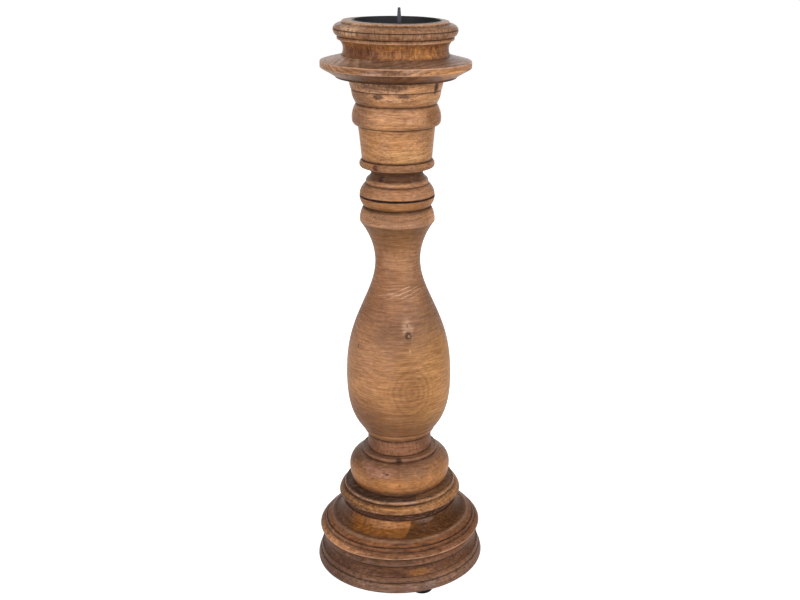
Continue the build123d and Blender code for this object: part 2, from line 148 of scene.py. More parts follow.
# Growth rings about a pith line along local Z, with blotches, fibres and pores drawn out along it
def makeTimberFigure():
    tree, given, wanted = startGroup(
        "timberFigure",
        [("Vector", "Vector", (0, 0, 0)), ("Pith", "Vector", (0, 0, 0)), ("Ring Gap", "Float", 0.006),
         ("Waviness", "Float", 0.008)],
        [("Rings", "Float"), ("Mottle", "Float"), ("Fibre", "Float"), ("Pores", "Float"),
         ("Flecks", "Float")],
    )
    place = vectorSum(tree, "SUBTRACT", given["Vector"], given["Pith"])
    sway = put(tree, "ShaderNodeTexNoise", {"Vector": stretched(tree, place, (1, 1, 0.35)), "Scale": 26.0,
                                            "Detail": 2.0}).outputs["Color"]
    sway = vectorSum(tree, "SUBTRACT", sway, (0.5, 0.5, 0.5))
    scaled = put(tree, "ShaderNodeVectorMath", {0: sway, "Scale": given["Waviness"]}, operation="SCALE")
    bent = vectorSum(tree, "ADD", place, scaled.outputs["Vector"])
    flat = vectorSum(tree, "MULTIPLY", bent, (1, 1, 0))
    reach = vectorSum(tree, "LENGTH", flat, out="Value")
    ring = sumOf(tree, "FRACT", sumOf(tree, "DIVIDE", reach, given["Ring Gap"]))
    early = remap(tree, ring, 0.0, 0.82, smooth=True)
    late = remap(tree, ring, 0.88, 1.0, 1.0, 0.0, smooth=True)
    tree.links.new(sumOf(tree, "MULTIPLY", early, late), wanted["Rings"])
    tree.links.new(noise(tree, stretched(tree, bent, (1, 1, 0.35)), 330, 5, 0.72), wanted["Mottle"])
    tree.links.new(noise(tree, stretched(tree, bent, (1, 1, 0.08)), 620, 3, 0.6), wanted["Fibre"])
    pores = noise(tree, stretched(tree, bent, (1, 1, 0.16)), 760, 2, 0.55)
    tree.links.new(remap(tree, pores, 0.56, 0.66), wanted["Pores"])
    tree.links.new(remap(tree, pores, 0.42, 0.33), wanted["Flecks"])
    return tree


# Fine marks left by the turning tool: streaks that run round the piece and waver a little
def makeToolMarks():
    tree, given, wanted = startGroup(
        "toolMarks", [("Vector", "Vector", (0, 0, 0)), ("Along", "Float", 0.0)], [("Streaks", "Float")])
    parts = put(tree, "ShaderNodeSeparateXYZ", {0: given["Vector"]}).outputs
    waver = sumOf(tree, "MULTIPLY", noise(tree, given["Vector"], 26, 2, 0.5), 0.008)
    place = put(tree, "ShaderNodeCombineXYZ", {0: sumOf(tree, "MULTIPLY", parts[0], 0.06),
                                               1: sumOf(tree, "MULTIPLY", parts[1], 0.06),
                                               2: sumOf(tree, "ADD", given["Along"], waver)})
    tree.links.new(noise(tree, place.outputs[0], 800, 3, 0.6), wanted["Streaks"])
    return tree


# A frayed patch round a place on the surface; some patches are stains and figure, others painted highlights,
# painted reflections and painted shade
def makeTonePatch():
    tree, given, wanted = startGroup(
        "tonePatch",
        [("Vector", "Vector", (0, 0, 0)), ("Centre", "Vector", (0, 0, 0)), ("Size", "Vector", (1, 1, 1)),
         ("Fray", "Float", 0.5), ("Fray Scale", "Float", 160.0), ("Fray Grain", "Vector", (1, 1, 1)),
         ("Stripe", "Vector", (0, 0, 1000))],
        [("Mask", "Float"), ("Rings", "Float"), ("Stripes", "Float")],
    )
    away = vectorSum(tree, "SUBTRACT", given["Vector"], given["Centre"])
    reach = vectorSum(tree, "LENGTH", vectorSum(tree, "DIVIDE", away, given["Size"]), out="Value")
    drawn = vectorSum(tree, "MULTIPLY", given["Vector"], given["Fray Grain"])
    ragged = sumOf(tree, "SUBTRACT", noise(tree, drawn, given["Fray Scale"], 3, 0.6), 0.5)
    reach = sumOf(tree, "ADD", reach, sumOf(tree, "MULTIPLY", ragged, given["Fray"]))
    inside = remap(tree, reach, 1.0, 0.35, smooth=True)
    tree.links.new(inside, wanted["Mask"])
    ripple = sumOf(tree, "SINE", sumOf(tree, "MULTIPLY", reach, 34.0))
    fade = remap(tree, reach, 1.0, 0.6, smooth=True)
    stripe = vectorSum(tree, "DOT_PRODUCT", away, given["Stripe"], out="Value")
    stripe = sumOf(tree, "ADD", stripe, sumOf(tree, "MULTIPLY", ragged, 9.0))
    stripe = remap(tree, sumOf(tree, "SINE", stripe), 0.35, 1.0)
    tree.links.new(sumOf(tree, "MULTIPLY", stripe, inside), wanted["Stripes"])
    tree.links.new(sumOf(tree, "MULTIPLY", remap(tree, ripple, -0.2, 1.0), fade), wanted["Rings"])
    return tree


# One side of a glue line: full beyond an upright plane, between two heights
def makeBoardSide():
    tree, given, wanted = startGroup(
        "boardSide",
        [("Vector", "Vector", (0, 0, 0)), ("Across", "Vector", (1, 0, 0)), ("Offset", "Float", 0.0),
         ("Low", "Float", -1.0), ("High", "Float", 1.0), ("Blur", "Float", 0.0003)],
        [("Mask", "Float")],
    )
    past = vectorSum(tree, "DOT_PRODUCT", given["Vector"], given["Across"], out="Value")
    past = sumOf(tree, "DIVIDE", sumOf(tree, "SUBTRACT", past, given["Offset"]), given["Blur"])
    height = put(tree, "ShaderNodeSeparateXYZ", {0: given["Vector"]}).outputs[2]
    over = sumOf(tree, "DIVIDE", sumOf(tree, "SUBTRACT", height, given["Low"]), 0.002, clamp=True)
    under = sumOf(tree, "DIVIDE", sumOf(tree, "SUBTRACT", given["High"], height), 0.002, clamp=True)
    mask = sumOf(tree, "MULTIPLY", remap(tree, past, -1.0, 1.0), sumOf(tree, "MULTIPLY", over, under))
    tree.links.new(mask, wanted["Mask"])
    return tree


# Dark stain in grooves and where pieces meet, painted shadow under some edges and painted shade in hollows,
# and pale edges that are partly worn wood and partly painted highlight
def makeStainShadeAndSheen():
    tree, given, wanted = startGroup(
        "stainShadeAndSheen",
        [("Color", "Color", (0.4, 0.2, 0.1, 1)), ("Line Color", "Color", (0.02, 0.012, 0.008, 1)),
         ("Worn Sheen Color", "Color", (0.5, 0.3, 0.16, 1)), ("Vector", "Vector", (0, 0, 0)),
         ("Dark Line", "Float", 0.0), ("Hollow Shade", "Float", 0.0), ("Edge", "Float", 0.0), ("Worn Sheen Show", "Float", 0.6)],
        [("Color", "Color"), ("Lines", "Float"), ("Worn Sheen", "Float")],
    )
    uneven = noise(tree, given["Vector"], 140, 3, 0.6)
    # Dark lines from cuts and ends, plus painted shade: hollows darken towards the line colour
    lines = sumOf(tree, "ADD", given["Dark Line"], sumOf(tree, "MULTIPLY", given["Hollow Shade"], 0.25))
    lines = sumOf(tree, "MULTIPLY", lines, remap(tree, uneven, 0.25, 0.6, 0.7, 1.1), clamp=True)
    # Pale edges: worn wood and painted highlight on the arrises
    wornSheen = sumOf(tree, "MULTIPLY", given["Edge"], remap(tree, uneven, 0.32, 0.6, 0.35, 1.0), clamp=True)
    wornSheen = sumOf(tree, "MULTIPLY", wornSheen, given["Worn Sheen Show"])
    pale = mixed(tree, wornSheen, given["Color"], given["Worn Sheen Color"])
    tree.links.new(mixed(tree, lines, pale, given["Line Color"]), wanted["Color"])
    tree.links.new(lines, wanted["Lines"])
    tree.links.new(wornSheen, wanted["Worn Sheen"])
    return tree


timberFigure = makeTimberFigure()
toolMarks = makeToolMarks()
tonePatch = makeTonePatch()
boardSide = makeBoardSide()
stainShadeAndSheen = makeStainShadeAndSheen()
print("finish groups built")


# Surfaces
turning = {
    "outlineStep": 0.0001,   # between the heights at which an outline is felt
    "arrisRound": 0.00025,   # how softly edges are broken
    "columns": 240,
    "coarseStep": 0.0022,    # between rows on smooth stretches
    "rowTurn": 0.16,         # radians of outline per row where it bends
    "outOfTrue": 0.00016,
    "dent": 0.00012,
    "cutWidth": 0.002,       # gaps in the outline up to this width count as cuts
    "cutFull": 0.0004,       # depth of a cut that is stained fully
    "stainSpread": 0.0007,   # of the dark stain past a cut
    "cornerShow": 0.4,       # share of the stain in the inside corners of steps
    "endLineReach": 0.0011,    # of the dark line at a piece's ends, where two pieces meet; at the plinth's foot it is painted shadow
    "lineReach": 0.0007,     # of a dark line, stain at some heights and painted shadow at others, and of a pale painted highlight line, at a height of its own
    "arrisBlur": 0.0011,     # blur of the outline that shows arrises and inside corners
    "hollowBlur": 0.006,     # blur that finds hollows, where painted shade goes
    "bridgeBlur": 0.0015,    # blur along which stain spreads out of a cut
    "cornerFrom": 0.00014,
    "cornerSpan": 0.00012,
    "arrisFrom": 0.00016,
    "arrisSpan": 0.00016,
    "hollowFull": 0.0022,
    "waveFade": 0.001,       # over which the waves die out at the outline's ends
    "wornSheenFade": 0.0012,       # over which the pale edges, worn wood and painted highlight, die out there
    "swayWaves": (10, 4, 0.12),    # count, most turns and pitch along the outline
    "chipWaves": (24, 60, 0.02),
    "chipFrom": 1.1,
}
hair = 0.00002


def nodeTree(node):
    mesh = frame["nodes"][node].data
    return BVHTree.FromPolygons([v.co for v in mesh.vertices], [p.vertices for p in mesh.polygons])


# Both walls met from a place inside a bore, as its radius and the shift of its middle to the right
def feelBore(tree, start):
    right, left = (tree.ray_cast(Vector(start), Vector((side, 0, 0)))[0].x for side in (1, -1))
    return (right - left) / 2, (right + left) / 2


def feelFloor(tree, x, height, up):
    return tree.ray_cast(Vector((x, 0, height)), Vector((0, 0, up)))[0].z


# The outermost radius at each height, felt by rays that come in square to the axis
def feelOutline(*nodes):
    trees = [nodeTree(node) for node in nodes]
    boxes = [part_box(node) for node in nodes]
    low, high = min(b[0].z for b in boxes), max(b[1].z for b in boxes)
    heights = np.linspace(low + hair, high - hair, int((high - low) / turning["outlineStep"]))
    out = Vector((1.0, 0.004, 0.0)).normalized()
    hits = [[tree.ray_cast(out + Vector((0, 0, h)), -out)[3] or 1.0 for tree in trees] for h in heights]
    radii = 1.0 - np.array(hits).min(axis=1)
    return np.column_stack([radii, heights, np.zeros(len(radii))])


def blurred(values, width, step):
    reach = max(int(3 * width / step), 1)
    bell = np.exp(-0.5 * (np.arange(-reach, reach + 1) * step / width) ** 2)
    padded = np.pad(values, ((reach, reach), (0, 0)), mode="edge")
    return np.column_stack([np.convolve(padded[:, k], bell / bell.sum(), "valid") for k in (0, 1)])


# How far the outline lies inside a hull that bridges every gap under the width: the depth of narrow
# cuts alone
def cutDepth(radii):
    reach = int(turning["cutWidth"] / turning["outlineStep"] / 2)
    slide = lambda values: np.lib.stride_tricks.sliding_window_view(values, 2 * reach + 1)
    return slide(slide(np.pad(radii, 2 * reach, mode="edge")).max(axis=1)).min(axis=1) - radii


# Sum of waves round the piece and along its outline, each with whole turns so that the seam closes
def waves(rng, turns, along, count, most, pitch):
    total = np.zeros((len(along), len(turns)))
    for _ in range(count):
        whole = rng.integers(1, most + 1)
        phase = rng.uniform(0, 2 * np.pi)
        rate = rng.uniform(-1, 1) * 2 * np.pi / pitch
        total += np.sin(whole * turns[None, :] + rate * along[:, None] + phase) / count ** 0.5
    return total


# Lathe surface: the path (radius, height, shift of its middle) is carried round the axis; rows lie along the
# path, closer together where it bends, and columns are turns. Between the outline's ends each point is pushed
# along its normal by the waves.
def turnPiece(name, path, ends, recipe):
    step = turning["outlineStep"]
    length = np.concatenate([[0], np.cumsum(np.hypot(*np.diff(path[:, :2], axis=0).T))])
    run = np.linspace(0, length[-1], int(length[-1] / step))
    even = np.column_stack([np.interp(run, length, path[:, k]) for k in (0, 1)])
    soft = blurred(even, turning["arrisRound"], step)
    tangent = np.gradient(soft, axis=0)
    tangent /= np.maximum(np.hypot(*tangent.T), 1e-12)[:, None]
    normal = np.column_stack([tangent[:, 1], -tangent[:, 0]])
    fine = ((blurred(even, turning["arrisBlur"], step) - soft) * normal).sum(axis=1)
    broad = ((blurred(even, turning["hollowBlur"], step) - soft) * normal).sum(axis=1)
    depth = np.zeros(len(path))
    outer = slice(ends[0], ends[1] + 1)
    depth[outer] = cutDepth(path[outer, 0])
    cut = np.clip(np.interp(run, length, depth) / turning["cutFull"], 0, 1)
    plain = blurred(even, turning["bridgeBlur"], step)
    over = np.concatenate([[0], np.cumsum(np.hypot(*np.diff(plain, axis=0).T))])
    near = np.exp(-((over[:, None] - over[None, ::3]) / turning["stainSpread"]) ** 2)
    groove = (cut[None, ::3] * near).max(axis=1) * np.interp(even[:, 1] * 1000, *zip(*recipe["cuts"]))
    corner = turning["cornerShow"] * np.clip((fine - turning["cornerFrom"]) / turning["cornerSpan"], 0, 1)
    bend = np.abs(np.gradient(np.unwrap(np.arctan2(tangent[:, 1], tangent[:, 0]))))
    rows = np.cumsum(step / turning["coarseStep"] + bend / turning["rowTurn"])
    places = np.interp(np.linspace(rows[0], rows[-1], int(rows[-1])), rows, run)[1:-1]
    pick = lambda values: np.interp(places, run, values)
    radius, height = pick(soft[:, 0]), pick(soft[:, 1])
    shift = np.interp(places, length, path[:, 2])
    columns = turning["columns"]
    turns = np.linspace(0, 2 * np.pi, columns, endpoint=False)
    rng = np.random.default_rng(recipe["seed"])
    first, last = length[ends[0]], length[ends[1]]
    edge = np.clip((-pick(fine) - turning["arrisFrom"]) / turning["arrisSpan"], 0, 1)
    push = turning["outOfTrue"] * waves(rng, turns, places, *turning["swayWaves"])
    chips = np.clip(waves(rng, turns, places, *turning["chipWaves"]) - turning["chipFrom"], 0, 1)
    push -= turning["dent"] * edge[:, None] * chips
    fromEnd = np.minimum(places - first, last - places)
    push *= np.clip(fromEnd / turning["waveFade"], 0, 1)[:, None]
    ringRadius = radius[:, None] + push * pick(normal[:, 0])[:, None]
    ringHeight = height[:, None] + push * pick(normal[:, 1])[:, None]
    across = ringRadius * np.cos(turns) + shift[:, None]
    grid = np.stack([across, ringRadius * np.sin(turns), ringHeight], axis=-1)
    poles = [[path[k, 2], 0, path[k, 1]] for k in (0, -1)]
    points = np.concatenate([grid.reshape(-1, 3), poles])
    index = np.arange(len(places) * columns).reshape(len(places), columns)
    nextIndex = np.roll(index, -1, axis=1)
    quads = np.stack([index[:-1], nextIndex[:-1], nextIndex[1:], index[1:]], axis=-1).reshape(-1, 4)
    bottom, top = len(points) - 2, len(points) - 1
    lower = np.column_stack([np.full(columns, bottom), nextIndex[0], index[0]])
    upper = np.column_stack([np.full(columns, top), index[-1], nextIndex[-1]])
    mesh = bpy.data.meshes.new(name)
    mesh.from_pydata(points.tolist(), [], quads.tolist() + lower.tolist() + upper.tolist())
    mesh.polygons.foreach_set("use_smooth", np.ones(len(mesh.polygons), bool))
    # Dark lines at the piece's ends and at given heights: stain where pieces meet and in cuts, and painted
    # shadow under some edges
    reach = turning["endLineReach"]
    extraLines = np.zeros(len(places))
    for amount, end in zip(recipe["joints"], (first, last)):
        extraLines = extraLines + amount * np.exp(-((places - end) / reach) ** 2)
    for level, amount in recipe["lines"]:
        extraLines = extraLines + amount * np.exp(-((height - level / 1000) / turning["lineReach"]) ** 2)
    # Pale edges on the arrises: worn wood and painted highlight
    edge = edge * np.clip(fromEnd / turning["wornSheenFade"], 0, 1)
    edge = edge * np.interp(height * 1000, *zip(*recipe["wornSheenHeights"]))
    # Painted highlight lines at given heights
    for level, amount in recipe["highlightLines"]:
        edge = np.maximum(edge, amount * np.exp(-((height - level / 1000) / turning["lineReach"]) ** 2))
    marks = {"groove": np.clip(pick(np.maximum(groove, corner)) + extraLines, 0, 1), "edge": edge,
             # Painted shade in hollows
             "hollow": np.clip(pick(broad) / turning["hollowFull"], 0, 1), "along": places}
    for label, values in marks.items():
        spread = np.concatenate([np.repeat(values, columns), [0, 0]]).astype(np.float32)
        mesh.attributes.new(label, "FLOAT", "POINT").data.foreach_set("value", spread)
    piece = bpy.data.objects.new(name, mesh)
    bpy.context.scene.collection.objects.link(piece)
    print("turned", name, len(places), "rows", len(mesh.polygons), "faces")
    return piece


# Finishes
def tone(red, green, blue):
    return tuple(((c / 255 + 0.055) / 1.055) ** 2.4 for c in (red, green, blue)) + (1.0,)


# A place on the surface from its turn in degrees and its height in millimetres
def surfacePlace(outline, turn, height):
    radius = np.interp(height / 1000, outline[:, 1], outline[:, 0])
    angle = math.radians(turn)
    return (radius * math.cos(angle), radius * math.sin(angle), height / 1000)


# The tone at each height, from a few heights in millimetres: the stain's own tone, and on some pieces painted
# highlights on lit heights and painted shade under overhangs
def toneAndLightByHeight(tree, place, toneAndLightBands):
    low, high = toneAndLightBands[0][0], toneAndLightBands[-1][0]
    height = put(tree, "ShaderNodeSeparateXYZ", {0: place}).outputs[2]
    ramp = put(tree, "ShaderNodeValToRGB", {0: remap(tree, height, low / 1000, high / 1000)})
    stops = ramp.color_ramp.elements
    for _ in toneAndLightBands[2:]:
        stops.new(0.5)
    for stop, (level, color) in zip(stops, toneAndLightBands):
        stop.position = (level - low) / (high - low)
        stop.color = color
    return ramp.outputs["Color"]


def makeTimber(name, recipe, outline):
    material = bpy.data.materials.new(name)
    material.use_nodes = True
    tree = material.node_tree
    shader = tree.nodes["Principled BSDF"]
    place = put(tree, "ShaderNodeTexCoord").outputs["Object"]
    mark = {label: put(tree, "ShaderNodeAttribute", attribute_name=label).outputs["Fac"]
            for label in ("groove", "hollow", "edge", "along")}
    lying = put(tree, "ShaderNodeMapping",
                {"Vector": place, "Rotation": recipe["fibreTurn"]}).outputs["Vector"]
    figure = useGroup(tree, timberFigure,
                      {"Vector": lying, "Pith": recipe["pith"], "Ring Gap": recipe["ringGap"]})
    streaks = useGroup(tree, toolMarks, {"Vector": place, "Along": mark["along"]})["Streaks"]
    # Tone by height: the stain, with painted highlights and painted shade on some pieces
    color = toneAndLightByHeight(tree, place, recipe["toneAndLightBands"])
    cloud = noise(tree, vectorSum(tree, "ADD", place, (recipe["seed"], 0, 0)), recipe["cloudScale"], 3,
                  0.55)
    cloudy = remap(tree, cloud, 0.35, 0.65, 1 - recipe["cloudShow"], 1 + recipe["cloudShow"], smooth=True)
    color = mixed(tree, 1.0, color, cloudy, "MULTIPLY")
    drift = noise(tree, vectorSum(tree, "ADD", place, (0, recipe["seed"], 0)), 75, 4, 0.65)
    tint = mixed(tree, remap(tree, drift, 0.36, 0.64), (1.07, 1.0, 0.8, 1), (0.95, 0.98, 1.16, 1))
    color = mixed(tree, recipe["tintShow"], color, mixed(tree, 1.0, color, tint, "MULTIPLY"))
    for board in recipe["boards"]:
        turn = math.radians(board["turn"])
        side = useGroup(tree, boardSide, {"Vector": place, "Across": (math.cos(turn), math.sin(turn), 0),
                                          "Offset": board["offset"] / 1000,
                                          "Low": board.get("low", -1000) / 1000,
                                          "High": board.get("high", 1000) / 1000,
                                          "Blur": board.get("blur", 0.3) / 1000})["Mask"]
        color = mixed(tree, sumOf(tree, "MULTIPLY", side, board["amount"]), color, board["tone"])
    for patch in recipe["patches"]:
        wide, tall = patch["size"]
        mask = useGroup(tree, tonePatch, {"Vector": place, "Centre": surfacePlace(outline, *patch["at"]),
                                           "Size": (wide / 1000, wide / 1000, tall / 1000),
                                           "Fray": patch.get("fray", 0.5),
                                           "Fray Scale": patch.get("frayScale", 160.0),
                                           "Fray Grain": patch.get("grain", (1, 1, 1)),
                                           "Stripe": patch.get("stripe", (0, 0, 1000))})[patch.get("as",
                                                                                                   "Mask")]
        color = mixed(tree, sumOf(tree, "MULTIPLY", mask, patch["amount"]), color, patch["tone"])
    color = mixed(tree, sumOf(tree, "MULTIPLY", figure["Rings"], recipe["ringShow"]), color,
                  recipe["ringTone"])
    for value, show in ((figure["Mottle"], "mottleShow"), (figure["Fibre"], "fibreShow"),
                        (streaks, "streakShow")):
        swing = [recipe[show] * share for share in (0.9, 1.0, 1.1)]
        dark, light = ([1 + side * part for part in swing] + [1] for side in (-1, 1))
        shade = mixed(tree, remap(tree, value, 0.34, 0.66), dark, light)
        color = mixed(tree, 1.0, color, shade, "MULTIPLY")
    color = mixed(tree, sumOf(tree, "MULTIPLY", figure["Pores"], recipe["poreShow"]), color,
                  recipe["poreTone"])
    color = mixed(tree, sumOf(tree, "MULTIPLY", figure["Flecks"], recipe["fleckShow"]), color,
                  recipe["wornSheen"])
    # Stain in grooves, painted shade in hollows, and pale edges that are worn wood and painted highlight
    stainedAndShaded = useGroup(tree, stainShadeAndSheen, {"Color": color, "Worn Sheen Color": recipe["wornSheen"], "Vector": place,
                                         "Line Color": recipe["line"], "Dark Line": mark["groove"],
                                         "Hollow Shade": mark["hollow"], "Edge": mark["edge"],
                                         "Worn Sheen Show": recipe["wornSheenShow"]})
    tree.links.new(stainedAndShaded["Color"], shader.inputs["Base Color"])
    rough = remap(tree, figure["Fibre"], 0.3, 0.7, recipe["roughness"] - 0.06, recipe["roughness"] + 0.06)
    rough = sumOf(tree, "ADD", rough, sumOf(tree, "MULTIPLY", stainedAndShaded["Lines"], 0.2))
    tree.links.new(rough, shader.inputs["Roughness"])
    shader.inputs["Specular IOR Level"].default_value = recipe["gloss"]
    relief = sumOf(tree, "ADD", sumOf(tree, "MULTIPLY", figure["Fibre"], 0.4), streaks)
    relief = sumOf(tree, "SUBTRACT", relief, sumOf(tree, "MULTIPLY", figure["Pores"], 0.6))
    bump = put(tree, "ShaderNodeBump", {"Height": relief, "Strength": 0.3, "Distance": 0.0004})
    tree.links.new(bump.outputs["Normal"], shader.inputs["Normal"])
    return material


# Tones of the stain, also used for painted highlights and painted shade
ink = tone(34, 24, 20)
umber = tone(84, 60, 49)
chestnut = tone(122, 82, 54)
tan = tone(158, 114, 82)
honey = tone(184, 133, 90)
rose = tone(198, 154, 124)

lyingGrain = (0, math.radians(90), 0)
timber = {
    "seed": 0, "fibreTurn": lyingGrain, "pith": (0.02, 0.12, 0), "ringGap": 0.0065, "ringShow": 0.2,
    "ringTone": chestnut,
    "cloudScale": 26.0, "cloudShow": 0.14, "mottleShow": 0.36, "fibreShow": 0.12, "streakShow": 0.22,
    "poreShow": 0.45, "poreTone": umber, "fleckShow": 0.16, "wornSheenShow": 0.8, "wornSheen": rose,
    "line": tone(48, 30, 22), "joints": (1.0, 1.0),
    "cuts": [(0, 0.85)], "lines": [], "highlightLines": [], "wornSheenHeights": [(0, 1.0)], "tintShow": 0.5, "roughness": 0.4,
    "gloss": 0.06, "boards": [], "patches": [],
}
base = dict(timber, ringTone=umber, wornSheen=tan, mottleShow=0.34, poreShow=0.5, poreTone=ink, fleckShow=0.22,
            line=ink, gloss=0.03)


def finishPiece(piece, recipe, outline, slot, *nodes):
    piece.data.materials.append(makeTimber(piece.name + "Wood", recipe, outline))
    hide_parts(*nodes)
    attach(piece, "stand")


def turnSimple(name, recipe, slot, *nodes):
    outline = feelOutline(*nodes)
    path = np.concatenate([[(0, outline[0, 1], 0)], outline, [(0, outline[-1, 1], 0)]])
    finishPiece(turnPiece(name, path, (1, len(outline)), recipe), recipe, outline, slot, *nodes)


# Plinth: the recess of the screw's head, then the outline
def turnPlinth(recipe):
    tree = nodeTree("plinth")
    outline = feelOutline("plinth")
    low, high = outline[0, 1], outline[-1, 1]
    recess = feelBore(tree, (0, 0, low + 0.002))[0]
    seat = feelFloor(tree, recess * 0.8, low, 1)
    inside = [(0, seat, 0), (recess, seat, 0), (recess, low, 0)]
    path = np.concatenate([inside, outline, [(0, high, 0)]])
    finishPiece(turnPiece("plinthTurned", path, (3, 2 + len(outline)), recipe), recipe, outline,
                "dark_stained_wood", "plinth")


# Candle cup: the outline, then down inside the recess and the rivet's pocket, which lie off the axis
def turnCup(recipe):
    tree = nodeTree("candle_cup")
    outline = feelOutline("candle_cup")
    recess, shift = feelBore(tree, (0, 0, outline[-1, 1] - 0.003))
    floor = feelFloor(tree, shift - recess * 0.6, outline[-1, 1], -1)
    pocket, pocketShift = feelBore(tree, (shift, 0, floor - 0.0005))
    pocketFloor = feelFloor(tree, pocketShift, floor, -1)
    outline = outline[outline[:, 0] > recess + shift + hair]
    rim = outline[-1, 1]
    inside = [(recess, rim, shift), (recess, floor, shift), (pocket, floor, pocketShift),
              (pocket, pocketFloor, pocketShift), (0, pocketFloor, pocketShift)]
    path = np.concatenate([[(0, outline[0, 1], 0)], outline, inside])
    finishPiece(turnPiece("candleCup", path, (1, len(outline) + 1), recipe), recipe, outline,
                "stained_wood", "candle_cup")


plinth = dict(
    # The dark line at the plinth's foot, its first end line, is painted shadow under the bottom edge
    base, seed=1, joints=(0.55, 1.0), wornSheenShow=0.5, lines=[(17.4, 0.35), (22.6, 0.25)],
    toneAndLightBands=[(8, tone(118, 88, 74)), (16, tone(122, 92, 76)), (20, tone(124, 90, 70)), (24, tone(96, 64, 46)),
           (33, tone(90, 60, 44))],
    patches=[
        {"at": (-77, 26), "size": (14, 4.5), "tone": tone(160, 106, 52), "amount": 0.5, "fray": 1.3,
         "frayScale": 260.0},
        {"at": (-68, 24), "size": (9, 4), "tone": chestnut, "amount": 0.6, "fray": 1.2},
        {"at": (-70, 12), "size": (14, 6), "tone": tone(128, 108, 98), "amount": 0.5, "fray": 0.8},
        {"at": (-150, 20), "size": (60, 30), "tone": umber, "amount": 0.5, "fray": 0.4},
    ],
)
turnPlinth(plinth)

baseDisc = dict(
    base, seed=2, joints=(1.0, 0.0), wornSheen=rose, wornSheenShow=0.7, fleckShow=0.1,
    # The dark line at 41.5 mm is painted shadow under the lip; the pale line at 56.4 mm is a painted
    # highlight on the step's arris
    lines=[(48.9, 0.35), (50.2, 0.35), (52.4, 0.8), (41.5, 0.5)], highlightLines=[(56.4, 0.5)],
    wornSheenHeights=[(45, 1.0), (62, 1.0), (68, 0.2)],
    toneAndLightBands=[(34, tone(102, 74, 60)), (42, tone(116, 82, 62)), (46, tone(116, 78, 56)),
           (54, tone(124, 80, 51)),
           (57, tone(97, 66, 47)), (71, tone(92, 62, 47))],
    boards=[
        {"turn": -37, "offset": -15, "low": 57, "tone": tone(124, 74, 26), "amount": 0.9, "blur": 6},
        {"turn": -37, "offset": 42, "low": 57, "tone": tone(72, 42, 17), "amount": 0.95, "blur": 0.4},
        {"turn": 0, "offset": 18, "high": 48, "tone": tone(146, 96, 64), "amount": 0.3, "blur": 0.5},
    ],
    patches=[
        {"at": (-95, 44), "size": (40, 5), "tone": chestnut, "amount": 0.6},
        {"at": (-150, 46), "size": (55, 9), "tone": tan, "amount": 0.9},
        {"at": (-142, 44.6), "size": (44, 4.5), "tone": tone(200, 138, 94), "amount": 0.7, "fray": 1.5,
         "frayScale": 420.0},
        {"at": (-105, 68), "size": (34, 5), "tone": tone(178, 126, 88), "amount": 0.5, "fray": 0.7},
        {"at": (-65, 70), "size": (12, 3), "tone": tone(132, 108, 96), "amount": 0.5},
    ],
)
turnSimple("baseDisc", baseDisc, "dark_stained_wood", "base_disc_left", "base_disc_middle",
           "base_disc_right")

baseRing = dict(
    base, seed=3, joints=(0.8, 0.5), wornSheen=rose, wornSheenShow=0.5, streakShow=0.4,
    wornSheenHeights=[(82, 0.0), (87, 0.2), (88, 1.0)],
    # Painted light in the tones by height: painted shade under the ring (72 to 80.5 mm), and painted
    # highlights on its lower edge (82 mm), across the half-round (85.5 mm) and on the upper arris (90.6 mm)
    toneAndLightBands=[(72, tone(74, 48, 35)), (78, tone(74, 48, 35)), (80.5, tone(64, 42, 31)),
           (82, tone(138, 98, 66)),
           (83.2, tone(122, 82, 50)), (85.5, tone(156, 110, 68)), (87.2, tone(112, 74, 44)),
           (88.4, tone(70, 47, 33)),
           (89.4, tone(120, 86, 62)), (90.6, tone(168, 126, 96)), (91.6, tone(92, 66, 50)),
           (92.5, tone(80, 57, 44))],
    boards=[{"turn": 0, "offset": 15.5, "low": 80, "tone": tone(152, 108, 70), "amount": 0.5, "blur": 0.5}],
    patches=[{"at": (-170, 84), "size": (60, 20), "tone": tone(96, 70, 56), "amount": 0.32}],
)
turnSimple("baseRing", baseRing, "stained_wood", "base_ring")

bulb = dict(
    timber, seed=4, joints=(1.0, 0.3), mottleShow=0.22, poreShow=0.25, cuts=[(124.7, 0.55)], wornSheenShow=0.2,
    toneAndLightBands=[(93, tone(112, 72, 42)), (102, tone(166, 112, 68)), (109, tone(166, 114, 72)),
           (118, tone(104, 71, 48)),
           (124, tone(94, 65, 46)), (126.5, tone(113, 81, 62)), (129, tone(109, 77, 59))],
    boards=[{"turn": 0, "offset": 0, "low": 112, "tone": tone(142, 102, 74), "amount": 0.5, "blur": 0.5}],
    patches=[
        {"at": (-118, 119), "size": (26, 8), "tone": tone(160, 112, 92), "amount": 0.7},
        {"at": (-90, 124), "size": (60, 7), "tone": tone(122, 86, 66), "amount": 0.7, "fray": 0.3},
        {"at": (-90, 94), "size": (70, 8), "tone": umber, "amount": 0.6, "fray": 0.2},
        {"at": (-105, 117.5), "size": (2.6, 1.4), "tone": ink, "amount": 0.8},
        {"at": (-109, 118.5), "size": (1.6, 1), "tone": ink, "amount": 0.6},
        {"at": (-90, 107.3), "size": (1.0, 1.2), "tone": ink, "amount": 0.9},
        {"at": (-91, 127.5), "size": (4.2, 5.5), "tone": ink, "amount": 0.85},
        {"at": (-35, 112), "size": (26, 14), "tone": tone(190, 132, 76), "amount": 0.3, "fray": 0.9},
        {"at": (-150, 110), "size": (24, 14), "tone": tone(178, 124, 80), "amount": 0.3, "fray": 0.6},
    ],
)
turnSimple("bulbTurned", bulb, "stained_wood", "bulb")

